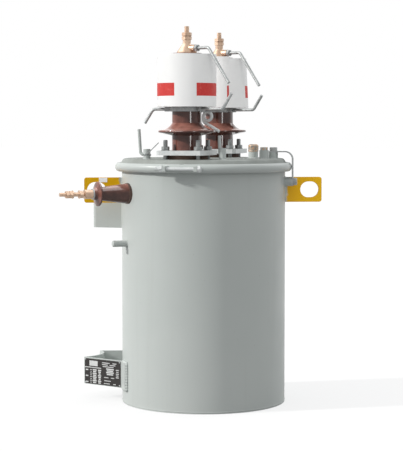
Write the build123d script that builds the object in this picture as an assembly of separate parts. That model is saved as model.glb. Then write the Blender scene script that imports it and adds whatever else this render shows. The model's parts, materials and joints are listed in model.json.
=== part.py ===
from build123d import *
import math
import os

# Pole transformer, in millimetres. The origin is the middle of the flat tank bottom, +Z is up and -X is the pole side.
# Azimuths are degrees from +X, counter-clockwise seen from above.

# Clearances
SEAT_GAP = 0.2
THREAD_GAP = 0.2
HOLE_GAP = 0.5

# Tank
TANK_R = 200.0
TANK_WALL = 3.0
TANK_H = 575.0
BOTTOM_T = 4.0
RIM_OUT = 10.0
RIM_T = 6.0

# Lid and its gasket
GASKET_T = 6.0
LID_T = 3.0
LID_RISE = 16.0
LID_TOP_IN = 4.0
LID_FOOT_OUT = 4.0
LID_BEND = 8.0

# Clamp band round the lid edge, with its closing bolt
BAND_T = 3.0
BAND_LIP_GAP = 1.0
BAND_CROWN = 6.0
BAND_GAP = 10.0
BAND_AZIMUTH = 273.0
BAND_LUG_SPAN = 60.0
BAND_LUG_W = 12.0
BAND_LUG_LEAN = 4.0
BAND_LUG_H = 12.0
BAND_BOLT_R = 4.0
BAND_BOLT_OUT = 8.0
BAND_BOLT_FLATS = 15.0
BAND_NUT_H = 8.0
BAND_BOLT_END = 10.0

# Lifting lugs
LUG_AZIMUTH = 22.0
LUG_REACH = 92.0
LUG_H = 61.5
LUG_T = 10.0
LUG_DROP = 24.5
LUG_CORNER = 6.0
LUG_HOLE_W = 46.0
LUG_HOLE_H = 39.0
LUG_HOLE_IN = 30.0

# Pole brackets, bent from one strip size
STRIP_T = 6.0
STRIP_H = 66.0
POLE_FACE_OUT = 73.0
POLE_HOLE_R = 11.0
UPPER_DROP = 84.0
UPPER_W = 98.0
UPPER_BEND_IN = 5.0
LOWER_Z = 36.0
LOWER_W = 116.0
SADDLE_R = 76.0
LOWER_BEND_IN = 1.0
FOOT_FROM = 30.0
FOOT_W = 33.0
LEG_RUN_IN = 30.0
PLATE_IN = 11.5
PLATE_OUT = 9.5
PLATE_MARGIN = 2.0
PLATE_T = 1.5

# Stub boss on the tank wall
STUB_AZIMUTH = 219.0
STUB_R = 7.8
STUB_OUT = 36.0
STUB_DROP = 182.0
STUB_CHAMFER = 1.5

# Low-voltage bushing through the tank wall
LV_AZIMUTH = 222.0
LV_DROP = 61.0
LV_GASKET_LIP = 1.0
LV_GASKET_T = 5.0
LV_ROOT_R = 24.0
LV_NECK_R = 16.0
LV_CONE = 67.0
LV_SHED_R = 29.5
LV_SHED_T = 7.0
LV_SHED_ROUND = 1.5
LV_NOSE_R = 12.5
LV_NOSE = 10.0
LV_WASHER_R = 13.0
LV_WASHER_T = 3.0
LV_CAP_R = 11.0
LV_CAP = 20.0
LV_STUD_R = 5.0
LV_TIP_R = 4.5
LV_TIP = 15.0
LV_NUT_FLATS = 17.0
LV_NUT_H = 8.0
LV_FIRST_NUT = 4.0
LV_PAIR_AT = 30.0
LV_PAIR_GAP = 1.0

# High-voltage bushings on the lid, stacked from the seat ring up
HV_IN = 65.0
HV_GASKET_R = 50.0
HV_GASKET_BORE = 22.0
HV_GASKET_T = 10.0
FLANGE_W = 118.0
FLANGE_T = 11.0
FLANGE_CUT = 8.0
FLANGE_STUD_SPACING = 80.0
FLANGE_STUD_R = 5.0
FLANGE_STUD_OUT = 25.0
FLANGE_NUT_FLATS = 17.0
FLANGE_NUT_H = 8.0
BODY_R = 35.0
SHED_UP = 53.0
SHED_R = 68.0
SHED_LIP = 6.0
SHED_RISE = 17.0
SHED_FALL = 7.0
SHED_HOLLOW = 0.35
UPPER_SHEDS = 2
COLLAR_OVER = 50.0
COLLAR_T = 6.0
COLLAR_H = 11.0
EAR_OUT = 12.0
EYE_EAR_OUT = 3.0
EAR_W = 14.0
SLEEVE_R = 71.0
SLEEVE_T = 2.0
SLEEVE_H = 123.5
BODY_OVER = 2.5
CAP_BASE_R = 23.5
CAP_LIP = 3.0
CAP_NECK_R = 9.5
CAP_CONE_H = 22.0
CAP_NECK_H = 9.0
CAP_BOSS_R = 8.5
CAP_BOSS_UP = 11.0
CAP_BOSS_OUT = 30.0
HV_STUD_R = 6.0
HV_TIP_R = 5.5
HV_TIP = 14.0
HV_NUT_FLATS = 21.0
HV_NUT_H = 9.0
HORN_NUT_FLATS = 15.0
HORN_NUT_H = 8.0

# Arcing horns, bent from round rod
ROD_R = 3.7
ROD_BEND = 12.0
HORN_AZIMUTH = -28.0
LOWER_HORN_AZIMUTH = 180.0
TOP_HORN_OVER = 1.0
TOP_HORN_REACH = 66.0
TOP_HORN_FALL = 83.0
UPPER_HORN_OVER = 48.0
UPPER_HORN_REACH = 28.0
UPPER_HORN_RISE = 35.0
LOWER_HORN_OVER = 13.0
LOWER_HORN_REACH = 21.0
LOWER_HORN_FALL = 33.0
EYE_AZIMUTH = -2.0
EYE_R = 10.0
EYE_DROP = 11.6
EYE_PALM_T = 4.0
EYE_LEG = 13.0
EYE_TIP_OVER = 13.0
EYE_TIP_UP = 3.0
EYE_BEND = 8.0

# Horns that stand on the lid
POST_R = 8.5
POST_H = 24.0
LID_HORN_LEFT = 100.0
LID_HORN_UP = 11.0
LID_HORN_OUT = 7.3
LID_HORN_BEND = 7.4
LID_HORN_LEAN = 4.0
LID_HORN_TIP_UP = 71.0
RIGHT_POST_X = 91.0
RIGHT_POST_Y = -10.0
RIGHT_POST_H = 27.0
RIGHT_HORN_TURN = -51.0
RIGHT_HORN_TIP_UP = 56.0

# Fittings on the lid
FILLER_AZIMUTH = 24.0
FILLER_IN = 76.5
FILLER_BOSS_R = 12.0
FILLER_BOSS_H = 16.0
FILLER_CAP_R = 12.8
FILLER_CAP_H = 18.0
FILLER_CAP_ROUND = 3.0
SPARE_AZIMUTH = 2.0
SPARE_IN = 48.0
SPARE_BOSS_R = 11.5
SPARE_BOSS_H = 20.0
SPARE_BOLT_FLATS = 16.0
SPARE_BOLT_H = 7.0

# Earth bond from the lid to the tank wall
BOND_AZIMUTH = 9.0
BOND_IN = 28.0
BOND_BOSS_R = 11.0
BOND_LID_BOSS_H = 15.0
BOND_DROP = 34.0
BOND_CLEAR = 1.0
STRAP_W = 20.0
STRAP_T = 3.0
STRAP_BEND_IN = 17.0
BOND_BOLT_R = 5.0
BOND_BOLT_DEEP = 8.0
BOND_HEAD_FLATS = 17.0
BOND_HEAD_H = 9.0

# Sizes and heights that follow from the values above
RIM_R = TANK_R + RIM_OUT
GASKET_TOP = TANK_H + GASKET_T
LID_TOP = GASKET_TOP + LID_RISE
LID_TOP_R = TANK_R - LID_TOP_IN
LID_FOOT_R = TANK_R + LID_FOOT_OUT
BAND_MID = TANK_H + (GASKET_T + LID_T - RIM_T) / 2
BAND_LIP_R = LID_FOOT_R + BAND_LIP_GAP
BAND_FLAT_R = RIM_R + HOLE_GAP
BAND_R = BAND_FLAT_R + BAND_CROWN
POLE_FACE = TANK_R + POLE_FACE_OUT
UPPER_Z = TANK_H - UPPER_DROP - STRIP_H
FLANGE_Z = LID_TOP + HV_GASKET_T
FLANGE_TOP = FLANGE_Z + FLANGE_T
SHED_Z = FLANGE_Z + SHED_UP
COLLAR_Z = SHED_Z + COLLAR_OVER
COLLAR_MID = COLLAR_Z + COLLAR_H / 2
COLLAR_R = BODY_R + SEAT_GAP + COLLAR_T
EAR_R = COLLAR_R + EAR_OUT
EYE_EAR_R = COLLAR_R + EYE_EAR_OUT
SLEEVE_Z = COLLAR_Z + COLLAR_H
SLEEVE_TOP = SLEEVE_Z + SLEEVE_H
BODY_TOP = SLEEVE_TOP + BODY_OVER
CAP_BOSS_Z = BODY_TOP + CAP_BOSS_UP
CAP_TOP = BODY_TOP + CAP_CONE_H + CAP_NECK_H
STUD_TOP = CAP_TOP + 2 * HV_NUT_H
LV_NOSE_END = LV_GASKET_T + LV_CONE + LV_SHED_T + LV_NOSE
LV_CAP_END = LV_NOSE_END + LV_WASHER_T + LV_CAP
BOND_LID_OUT = TANK_R - BOND_IN
BOND_LID_Z = LID_TOP + BOND_LID_BOSS_H
BOND_FACE = BAND_R + BOND_CLEAR
BOND_Z = TANK_H - BOND_DROP

BUSHINGS = {"front": HV_IN - TANK_R, "rear": TANK_R - HV_IN}


def disc(radius, bottom, top):
    """Return a round plate or rod between two heights."""
    return Pos(0, 0, (bottom + top) / 2) * Cylinder(radius, top - bottom)


def tube(outer, inner, bottom, top):
    """Return a ring between two heights."""
    return disc(outer, bottom, top) - disc(inner, bottom, top)


def turned(*points):
    """Return the solid of a closed (radius, height) outline turned about Z."""
    outline = make_face(Polyline(*points, close=True))
    return revolve(Plane.XZ * outline, Axis.Z)


def hexagon(flats, bottom, top):
    """Return a hexagonal prism between two heights."""
    outline = RegularPolygon(flats / 2, 6, major_radius=False)
    return Pos(0, 0, bottom) * extrude(outline, top - bottom)


def nut(flats, bore, bottom, top):
    """Return a plain hexagon nut between two heights."""
    return hexagon(flats, bottom, top) - disc(bore, bottom, top)


def rod(points, bend):
    """Return a round rod along (radius, height) points, bent at each corner."""
    path = FilletPolyline(*[(out, 0, up) for out, up in points], radius=bend)
    section = Plane(origin=path @ 0, z_dir=path % 0) * Circle(ROD_R)
    return sweep(section, path=path)


def outward(shape, azimuth, out, height):
    """Turn a shape made along +Z so that it points out from the tank at an azimuth."""
    return Rot(0, 0, azimuth) * Pos(out, 0, height) * Rot(0, 90, 0) * shape


def on_lid(shape, azimuth, inset):
    """Set a shape made round the Z axis onto the lid, a distance in from the tank wall."""
    return Rot(0, 0, azimuth) * Pos(TANK_R - inset, 0, 0) * shape


def clear_of_tank(shape):
    """Cut a shape back to the tank wall, with the seat gap."""
    return shape - disc(TANK_R + SEAT_GAP, 0, TANK_H)


def tank_shell():
    """Return the tank wall with its welded rim."""
    inner = TANK_R - TANK_WALL
    under_rim = TANK_H - RIM_T
    return turned(
        (inner, BOTTOM_T),
        (TANK_R, BOTTOM_T),
        (TANK_R, under_rim),
        (RIM_R, under_rim),
        (RIM_R, TANK_H),
        (inner, TANK_H),
    )


def tank_bottom():
    """Return the flat bottom plate."""
    return disc(TANK_R, 0, BOTTOM_T)


def lid_gasket():
    """Return the gasket between the rim and the lid edge."""
    return tube(RIM_R, TANK_R - TANK_WALL, TANK_H, GASKET_TOP)


def lid_crown(inset):
    """Return the raised part of the lid as a solid with a sloped shoulder, moved in and down by an inset."""
    foot = GASKET_TOP + LID_T - inset
    top = LID_TOP - inset
    crown = Pos(0, 0, (foot + top) / 2) * Cone(LID_FOOT_R - inset, LID_TOP_R - inset, top - foot)
    return fillet(crown.edges().group_by(Axis.Z)[-1], LID_BEND - inset)


def lid():
    """Return the pressed lid: a raised crown inside a flat edge."""
    return disc(RIM_R, GASKET_TOP, GASKET_TOP + LID_T) + lid_crown(0) - lid_crown(LID_T)


def band_section():
    """Return the C section of the clamp band."""
    half = (RIM_T + GASKET_T + LID_T) / 2
    outer = half + BAND_T
    outside = ThreePointArc((BAND_FLAT_R, -outer), (BAND_R, 0), (BAND_FLAT_R, outer))
    inside = ThreePointArc((BAND_FLAT_R, half), (BAND_R - BAND_T, 0), (BAND_FLAT_R, -half))
    top_lip = Polyline(outside @ 1, (BAND_LIP_R, outer), (BAND_LIP_R, half), inside @ 0)
    low_lip = Polyline(inside @ 1, (BAND_LIP_R, -half), (BAND_LIP_R, -outer), outside @ 0)
    return make_face([outside, top_lip, inside, low_lip])


def band_lug(side):
    """Return one wedge lug of the band, on the side +1 or -1 of the closing gap."""
    seat = BAND_R - BAND_T / 2
    near = BAND_LUG_SPAN / 2
    far = near + BAND_LUG_W
    crest = BAND_R + 2 * BAND_BOLT_OUT
    outline = make_face(
        Polyline(
            (math.sqrt(seat**2 - near**2), side * near),
            (crest, side * (near + BAND_LUG_LEAN)),
            (crest, side * far),
            (math.sqrt(seat**2 - far**2), side * far),
            close=True,
        )
    )
    return Pos(0, 0, -BAND_LUG_H / 2) * extrude(outline, BAND_LUG_H, dir=(0, 0, 1))


def clamp_band():
    """Return the open band with the two lugs that its bolt draws together."""
    gap = math.degrees(BAND_GAP / BAND_R)
    ring = revolve(Plane.XZ * band_section(), Axis.Z, revolution_arc=360 - gap)
    band = Rot(0, 0, gap / 2) * ring + band_lug(1) + band_lug(-1)
    bolt_hole = Cylinder(BAND_BOLT_R + HOLE_GAP, 2 * BAND_LUG_SPAN)
    band -= Pos(BAND_R + BAND_BOLT_OUT, 0, 0) * Rot(90, 0, 0) * bolt_hole
    return Rot(0, 0, BAND_AZIMUTH) * Pos(0, 0, BAND_MID) * band


def band_bolt():
    """Return the closing bolt with its head and nut against the lugs."""
    seat = BAND_LUG_SPAN / 2 + BAND_LUG_W
    head = seat + BAND_NUT_H
    bolt = disc(BAND_BOLT_R, -head - BAND_BOLT_END, head)
    bolt += hexagon(BAND_BOLT_FLATS, seat, head)
    bolt += hexagon(BAND_BOLT_FLATS, -head, -seat)
    bolt = Pos(BAND_R + BAND_BOLT_OUT, 0, BAND_MID) * Rot(-90, 0, 0) * bolt
    return Rot(0, 0, BAND_AZIMUTH) * bolt


def lifting_lug(azimuth):
    """Return a lifting lug: an upright plate with an oval hole."""
    bottom = TANK_H - LUG_DROP - LUG_H
    length = LUG_REACH + TANK_WALL
    middle = TANK_R + LUG_REACH - length / 2
    plate = Pos(middle, bottom + LUG_H / 2) * Rectangle(length, LUG_H)
    plate = fillet(plate.vertices().group_by(Axis.X)[-1], LUG_CORNER)
    plate -= Pos(TANK_R + LUG_REACH - LUG_HOLE_IN, bottom + LUG_H / 2) * SlotOverall(LUG_HOLE_W, LUG_HOLE_H)
    lug = extrude(Plane.XZ * plate, LUG_T / 2, both=True)
    return Rot(0, 0, azimuth) * clear_of_tank(lug)


def pole_hole(bottom):
    """Return the cutter for the pole bolt's hole in a bracket."""
    hole = Cylinder(POLE_HOLE_R, 2 * (STRIP_T + POLE_HOLE_R))
    return Pos(-POLE_FACE, 0, bottom + STRIP_H / 2) * Rot(0, 90, 0) * hole


def upper_pole_bracket():
    """Return the upper bracket: a strip bent to a U with parallel legs."""
    outer = Pos(-POLE_FACE / 2, 0) * Rectangle(POLE_FACE, UPPER_W)
    outer = fillet(outer.vertices().group_by(Axis.X)[0], UPPER_BEND_IN + STRIP_T)
    inner_face = POLE_FACE - STRIP_T
    inner = Pos(-inner_face / 2, 0) * Rectangle(inner_face, UPPER_W - 2 * STRIP_T)
    inner = fillet(inner.vertices().group_by(Axis.X)[0], UPPER_BEND_IN)
    strip = Pos(0, 0, UPPER_Z) * extrude(outer - inner, STRIP_H)
    strip = clear_of_tank(strip) - pole_hole(UPPER_Z)
    return strip.solids().sort_by(Axis.X)[0]


def lower_corner():
    """Return the plan of the saddle's front corner, before its bend is rounded."""
    half = LOWER_W / 2
    depth = SADDLE_R - math.sqrt(SADDLE_R**2 - half**2)
    return Vector(-(POLE_FACE + depth), -half)


def lower_foot():
    """Return the plan of the point where the front leg meets the tank wall."""
    angle = math.radians(FOOT_FROM)
    return Vector(-TANK_R * math.cos(angle), -TANK_R * math.sin(angle))


def lower_pole_bracket():
    """Return the lower bracket: a strip bent to a pole saddle with splayed legs and feet."""
    corner = lower_corner()
    inside = lower_foot() + (lower_foot() - corner).normalized() * LEG_RUN_IN
    outer = make_face(
        Polyline(
            (corner.X, corner.Y),
            (inside.X, inside.Y),
            (inside.X, -inside.Y),
            (corner.X, -corner.Y),
            close=True,
        )
    )
    outer -= Pos(-POLE_FACE - SADDLE_R, 0) * Circle(SADDLE_R)
    outer = fillet(outer.vertices().group_by(Axis.X)[0], LOWER_BEND_IN + STRIP_T)
    inner = offset(outer, -STRIP_T, kind=Kind.INTERSECTION)
    strip = Pos(0, 0, LOWER_Z) * extrude(outer - inner, STRIP_H)
    strip = clear_of_tank(strip) - pole_hole(LOWER_Z)
    strip = strip.solids().sort_by(Axis.X)[0]
    foot_plan = Pos(TANK_R + SEAT_GAP + STRIP_T / 2, LOWER_Z + STRIP_H / 2) * Rectangle(STRIP_T, STRIP_H)
    foot_arc = math.degrees((STRIP_T + FOOT_W) / TANK_R)
    foot_start = FOOT_FROM - math.degrees(STRIP_T / TANK_R)
    foot = revolve(Plane.XZ * foot_plan, Axis.Z, revolution_arc=foot_arc)
    strip += Rot(0, 0, 180 + foot_start) * foot
    strip += Rot(0, 0, 180 - foot_start - foot_arc) * foot
    return strip


def nameplate():
    """Return the plain plate that covers the flat of the lower bracket's front leg."""
    leg = lower_foot() - lower_corner()
    width = leg.length - PLATE_IN - PLATE_OUT
    middle = lower_corner() + leg.normalized() * (PLATE_IN + width / 2)
    slant = math.degrees(math.atan2(leg.Y, leg.X))
    plate = Pos(0, -PLATE_T / 2, 0) * Box(width, PLATE_T, STRIP_H - 2 * PLATE_MARGIN)
    return Pos(middle.X, middle.Y, LOWER_Z + STRIP_H / 2) * Rot(0, 0, slant) * plate


def stub_boss():
    """Return the round stub on the tank wall, with a broken edge at its end."""
    stub = disc(STUB_R, -TANK_WALL, STUB_OUT)
    stub = chamfer(stub.edges().group_by(Axis.Z)[-1], STUB_CHAMFER)
    return clear_of_tank(outward(stub, STUB_AZIMUTH, TANK_R, TANK_H - STUB_DROP))


def lv_place(shape):
    """Set a piece made along +Z onto the low-voltage bushing's axis, from the tank wall out."""
    return outward(shape, LV_AZIMUTH, TANK_R, TANK_H - LV_DROP)


def lv_gasket():
    """Return the gasket ring on the tank wall."""
    ring = tube(LV_ROOT_R + LV_GASKET_LIP, LV_NECK_R, -TANK_WALL - LV_GASKET_T, LV_GASKET_T)
    return clear_of_tank(lv_place(ring))


def lv_porcelain():
    """Return the conical porcelain with its one shed."""
    root = LV_GASKET_T
    neck = root + LV_CONE
    shed = neck + LV_SHED_T
    body = turned(
        (0, root),
        (LV_ROOT_R, root),
        (LV_NECK_R, neck),
        (LV_SHED_R, neck + LV_SHED_T / 2),
        (LV_SHED_R, shed),
        (LV_NECK_R, shed + LV_SHED_T / 2),
        (LV_NOSE_R, LV_NOSE_END),
        (0, LV_NOSE_END),
    )
    rims = body.edges().filter_by(GeomType.CIRCLE).sort_by(SortBy.RADIUS)[-2:]
    return lv_place(fillet(rims, LV_SHED_ROUND))


def lv_washer():
    """Return the washer between the porcelain and the terminal."""
    return lv_place(disc(LV_WASHER_R, LV_NOSE_END, LV_NOSE_END + LV_WASHER_T))


def lv_nut_places():
    """Return where the nuts on the low-voltage stud begin: one by the cap, then a pair."""
    return [LV_CAP_END + at for at in (LV_FIRST_NUT, LV_PAIR_AT, LV_PAIR_AT + LV_NUT_H + LV_PAIR_GAP)]


def lv_terminal():
    """Return the brass cap with its stud."""
    stud = lv_nut_places()[-1] + LV_NUT_H
    cap = disc(LV_CAP_R, LV_NOSE_END + LV_WASHER_T, LV_CAP_END)
    return lv_place(cap + disc(LV_STUD_R, LV_CAP_END, stud) + disc(LV_TIP_R, stud, stud + LV_TIP))


def lv_nuts():
    """Return the nuts on the low-voltage stud."""
    bore = LV_STUD_R + THREAD_GAP
    return [lv_place(nut(LV_NUT_FLATS, bore, start, start + LV_NUT_H)) for start in lv_nut_places()]


def hv_gasket():
    """Return the seat ring under a high-voltage bushing."""
    return tube(HV_GASKET_R, HV_GASKET_BORE, LID_TOP, FLANGE_Z)


def flange_spots():
    """Return the places of the four flange studs round a bushing's axis."""
    return GridLocations(FLANGE_STUD_SPACING, FLANGE_STUD_SPACING, 2, 2)


def hv_flange():
    """Return the square clamp plate with cut corners."""
    plate = Rectangle(FLANGE_W, FLANGE_W)
    plate = chamfer(plate.vertices(), FLANGE_CUT)
    plate -= Circle(BODY_R + SEAT_GAP)
    plate -= flange_spots() * Circle(FLANGE_STUD_R + HOLE_GAP)
    return Pos(0, 0, FLANGE_Z) * extrude(plate, FLANGE_T)


def hv_flange_studs():
    """Return the four studs from the lid, each with its nut on the flange."""
    stud = disc(FLANGE_STUD_R, LID_TOP, FLANGE_TOP + FLANGE_STUD_OUT)
    stud += hexagon(FLANGE_NUT_FLATS, FLANGE_TOP, FLANGE_TOP + FLANGE_NUT_H)
    return [spot * stud for spot in flange_spots()]


def shed_edges(radius, bottom):
    """Return the outline of one shed: its underside, its rounded lip and its hollow crown."""
    edge = radius - SHED_LIP / 2
    top = bottom + SHED_LIP
    waist = (BODY_R + SHED_HOLLOW * (edge - BODY_R), top + SHED_HOLLOW * SHED_RISE)
    under = Line((BODY_R, bottom - SHED_FALL), (edge, bottom))
    lip = ThreePointArc((edge, bottom), (radius, bottom + SHED_LIP / 2), (edge, top))
    crown = ThreePointArc((edge, top), waist, (BODY_R, top + SHED_RISE))
    return [under, lip, crown]


def hv_porcelain():
    """Return the porcelain: a straight body with one open shed and the sheds that hold the sleeve."""
    pitch = SLEEVE_H / UPPER_SHEDS
    sheds = [(SHED_R, SHED_Z)]
    sheds += [(SLEEVE_R - SLEEVE_T - SEAT_GAP, SLEEVE_Z + (index + 1 / 2) * pitch) for index in range(UPPER_SHEDS)]
    edges = [Line((0, FLANGE_Z), (BODY_R, FLANGE_Z))]
    for radius, bottom in sheds:
        outline = shed_edges(radius, bottom)
        edges.append(Line(edges[-1] @ 1, outline[0] @ 0))
        edges += outline
    edges.append(Line(edges[-1] @ 1, (BODY_R, BODY_TOP)))
    edges.append(Line((BODY_R, BODY_TOP), (0, BODY_TOP)))
    edges.append(Line((0, BODY_TOP), (0, FLANGE_Z)))
    return revolve(Plane.XZ * make_face(edges), Axis.Z)


def hv_collar(ears):
    """Return the clamp collar with an ear at each azimuth, out to its reach."""
    collar = disc(COLLAR_R, COLLAR_Z, COLLAR_Z + COLLAR_H)
    for azimuth, reach in ears.items():
        collar += Rot(0, 0, azimuth) * Pos(reach / 2, 0, COLLAR_MID) * Box(reach, EAR_W, COLLAR_H)
    return collar - disc(BODY_R + SEAT_GAP, COLLAR_Z, COLLAR_Z + COLLAR_H)


def hv_sleeve():
    """Return the plain sleeve round the upper sheds."""
    return tube(SLEEVE_R, SLEEVE_R - SLEEVE_T, SLEEVE_Z, SLEEVE_TOP)


def hv_terminal():
    """Return the bronze terminal: a cone with a side boss for the horn and a stud on top."""
    cone = turned(
        (0, BODY_TOP),
        (CAP_BASE_R, BODY_TOP),
        (CAP_BASE_R, BODY_TOP + CAP_LIP),
        (CAP_NECK_R, BODY_TOP + CAP_CONE_H),
        (CAP_NECK_R, CAP_TOP),
        (HV_STUD_R, CAP_TOP),
        (HV_STUD_R, STUD_TOP),
        (HV_TIP_R, STUD_TOP),
        (HV_TIP_R, STUD_TOP + HV_TIP),
        (0, STUD_TOP + HV_TIP),
    )
    return cone + outward(disc(CAP_BOSS_R, 0, CAP_BOSS_OUT), HORN_AZIMUTH, 0, CAP_BOSS_Z)


def hv_nuts():
    """Return the double nut on the stud and the nut that holds the top horn."""
    stud_nut = nut(HV_NUT_FLATS, HV_STUD_R + THREAD_GAP, 0, HV_NUT_H)
    stud_nuts = Pos(0, 0, CAP_TOP) * (stud_nut + Pos(0, 0, HV_NUT_H) * stud_nut)
    horn_nut = nut(HORN_NUT_FLATS, ROD_R + THREAD_GAP, 0, HORN_NUT_H)
    return [stud_nuts, outward(horn_nut, HORN_AZIMUTH, CAP_BOSS_OUT, CAP_BOSS_Z)]


def bent_horn(start, level, over, reach, rise, azimuth):
    """Return a horn that runs level past the sleeve's edge and then slants up or down."""
    bend = SLEEVE_R + over
    return Rot(0, 0, azimuth) * rod([(start, level), (bend, level), (bend + reach, level + rise)], ROD_BEND)


def top_horn():
    """Return the horn on the terminal, bent down."""
    return bent_horn(CAP_BOSS_OUT, CAP_BOSS_Z, TOP_HORN_OVER, TOP_HORN_REACH, -TOP_HORN_FALL, HORN_AZIMUTH)


def upper_horn():
    """Return the collar's horn that rises to meet the top horn."""
    return bent_horn(EAR_R, COLLAR_MID, UPPER_HORN_OVER, UPPER_HORN_REACH, UPPER_HORN_RISE, HORN_AZIMUTH)


def lower_horn():
    """Return the collar's horn that falls towards the lid horn."""
    return bent_horn(EAR_R, COLLAR_MID, LOWER_HORN_OVER, LOWER_HORN_REACH, -LOWER_HORN_FALL, LOWER_HORN_AZIMUTH)


def eye_horn():
    """Return the front collar's second lower horn: a palm, an eye and a rod that curves out over the shed."""
    middle = EYE_EAR_R + EYE_PALM_T + ROD_R
    height = COLLAR_Z - EYE_DROP
    palm_foot = height + EYE_R
    palm = Pos(EYE_EAR_R + EYE_PALM_T / 2, 0, (palm_foot + SLEEVE_Z) / 2)
    palm *= Box(EYE_PALM_T, EAR_W, SLEEVE_Z - palm_foot)
    eye = Pos(middle, 0, height) * Rot(90, 0, 0) * Torus(EYE_R, ROD_R)
    start = middle - EYE_R
    tip = (SHED_R + EYE_TIP_OVER, SHED_Z + EYE_TIP_UP)
    tail = rod([(start, height), (start, height - EYE_LEG), tip], EYE_BEND)
    return Rot(0, 0, EYE_AZIMUTH) * (palm + eye + tail)


def lid_horn(post_h, tip_up):
    """Return a post on the lid with a horn that leaves it towards -X and turns up."""
    level = LID_TOP + LID_HORN_UP
    elbow = -POST_R - LID_HORN_OUT
    horn = rod([(0, level), (elbow, level), (elbow - LID_HORN_LEAN, LID_TOP + tip_up)], LID_HORN_BEND)
    return disc(POST_R, LID_TOP, LID_TOP + post_h) + horn


def lid_horns():
    """Return the horns on the lid: one to the left of each bushing and one under the eye horn."""
    horns = [Pos(-LID_HORN_LEFT, place_y, 0) * lid_horn(POST_H, LID_HORN_TIP_UP) for place_y in BUSHINGS.values()]
    right = Rot(0, 0, RIGHT_HORN_TURN) * lid_horn(RIGHT_POST_H, RIGHT_HORN_TIP_UP)
    return horns + [Pos(RIGHT_POST_X, BUSHINGS["front"] + RIGHT_POST_Y, 0) * right]


def filler_boss():
    """Return the welded filler neck."""
    return on_lid(disc(FILLER_BOSS_R, LID_TOP, LID_TOP + FILLER_BOSS_H), FILLER_AZIMUTH, FILLER_IN)


def filler_cap():
    """Return the brass filler cap with a rounded top."""
    bottom = LID_TOP + FILLER_BOSS_H
    cap = disc(FILLER_CAP_R, bottom, bottom + FILLER_CAP_H)
    cap = fillet(cap.edges().group_by(Axis.Z)[-1], FILLER_CAP_ROUND)
    return on_lid(cap, FILLER_AZIMUTH, FILLER_IN)


def spare_boss():
    """Return the middle boss with its closing bolt's head."""
    top = LID_TOP + SPARE_BOSS_H
    boss = disc(SPARE_BOSS_R, LID_TOP, top) + hexagon(SPARE_BOLT_FLATS, top, top + SPARE_BOLT_H)
    return on_lid(boss, SPARE_AZIMUTH, SPARE_IN)


def bond_hole(bottom, top):
    """Return the hole for a bond bolt."""
    return disc(BOND_BOLT_R + HOLE_GAP, bottom, top)


def bond_lid_boss():
    """Return the earth boss on the lid."""
    boss = disc(BOND_BOSS_R, LID_TOP, BOND_LID_Z)
    return on_lid(boss - bond_hole(BOND_LID_Z - BOND_BOLT_DEEP, BOND_LID_Z), BOND_AZIMUTH, BOND_IN)


def bond_tank_boss():
    """Return the earth boss on the tank wall."""
    length = BOND_FACE - TANK_R
    boss = disc(BOND_BOSS_R, -TANK_WALL, length) - bond_hole(length - BOND_BOLT_DEEP, length)
    return clear_of_tank(outward(boss, BOND_AZIMUTH, TANK_R, BOND_Z))


def strap_side(face, top, bend):
    """Return the plan of the space under one side of the strap, rounded at the strap's bend."""
    inner_end = BOND_LID_OUT - STRAP_W / 2
    low_end = BOND_Z - STRAP_W / 2
    side = Pos((inner_end + face) / 2, (low_end + top) / 2) * Rectangle(face - inner_end, top - low_end)
    return fillet(side.vertices().group_by(Axis.X)[-1].sort_by(Axis.Y)[-1], bend)


def earth_strap():
    """Return the flat strap that bonds the lid to the tank wall over the clamp band."""
    outside = BOND_FACE + STRAP_T
    top = BOND_LID_Z + STRAP_T
    edge = strap_side(outside, top, STRAP_BEND_IN + STRAP_T) - strap_side(BOND_FACE, BOND_LID_Z, STRAP_BEND_IN)
    strap = extrude(Plane.XZ * edge, STRAP_W / 2, both=True)
    strap -= Pos(BOND_LID_OUT, 0, 0) * bond_hole(BOND_LID_Z, top)
    strap -= Pos(0, 0, BOND_Z) * Rot(0, 90, 0) * bond_hole(BOND_FACE, outside)
    return Rot(0, 0, BOND_AZIMUTH) * strap


def bond_bolt(seat):
    """Return a bond bolt along +Z whose head stands on the strap at a height."""
    shank = disc(BOND_BOLT_R, seat - STRAP_T - BOND_BOLT_DEEP, seat)
    return shank + hexagon(BOND_HEAD_FLATS, seat, seat + BOND_HEAD_H)


def bond_bolts():
    """Return the bolts at the two ends of the strap."""
    on_wall = outward(bond_bolt(BOND_FACE + STRAP_T), BOND_AZIMUTH, 0, BOND_Z)
    return [on_lid(bond_bolt(BOND_LID_Z + STRAP_T), BOND_AZIMUTH, BOND_IN), on_wall]


def bushing_pieces(side):
    """Return the nodes of one high-voltage bushing, round the Z axis."""
    ears = {HORN_AZIMUTH: EAR_R, LOWER_HORN_AZIMUTH: EAR_R}
    pieces = {
        "flange": hv_flange(),
        "porcelain": hv_porcelain(),
        "sleeve": hv_sleeve(),
        "terminal": hv_terminal(),
        "top_horn": top_horn(),
        "upper_horn": upper_horn(),
        "lower_horn": lower_horn(),
    }
    if side == "front":
        ears[EYE_AZIMUTH] = EYE_EAR_R
        pieces["eye_horn"] = eye_horn()
    pieces["collar"] = hv_collar(ears)
    return pieces


def on_both(*pieces):
    """Return small pieces made round the Z axis, set at both high-voltage bushings."""
    return [Pos(0, place_y, 0) * piece for place_y in BUSHINGS.values() for piece in pieces]


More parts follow.
